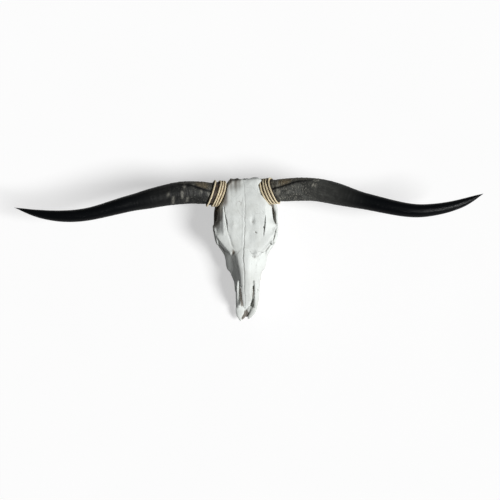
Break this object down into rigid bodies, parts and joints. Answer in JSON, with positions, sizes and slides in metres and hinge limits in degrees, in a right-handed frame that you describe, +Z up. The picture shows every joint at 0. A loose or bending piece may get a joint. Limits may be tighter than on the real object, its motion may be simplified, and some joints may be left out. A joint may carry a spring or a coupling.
{
  "type": "longhorn steer skull",
  "caption": "Bleached steer skull without lower jaw, lying on its cheek teeth, with a wide pair of dark horns and cream cord lashed round each horn base.",
  "frame": {"origin": "middle of the bounding box, on the surface that the skull lies on", "axes": "+Z up, nose towards -Y, +X towards the animal's left horn tip"},
  "size_m": [1.6698, 0.4996, 0.244],
  "materials": {
    "bone": "dry bleached bone, matt, with fine pores, faint cracks and grey weathering",
    "horn": "black horn, polished towards the tips, scratched and mottled grey at the base",
    "cord": "cream twisted cord, matt",
    "leather_band": "dark brown hide, dull"
  },
  "bodies": {
    "root": {"cranium": "bone", "nasal_left": "bone", "nasal_right": "bone", "premaxilla_left": "bone", "premaxilla_right": "bone", "zygomatic_left": "bone", "zygomatic_right": "bone", "maxilla_left": "bone", "maxilla_right": "bone", "horn_left": "horn", "band_left": "leather_band", "cord_left_1": "cord", "cord_left_2": "cord", "cord_left_3": "cord", "cord_left_4": "cord", "horn_right": "horn", "band_right": "leather_band", "cord_right_1": "cord", "cord_right_2": "cord", "cord_right_3": "cord", "cord_right_4": "cord"}
  },
  "joints": []
}
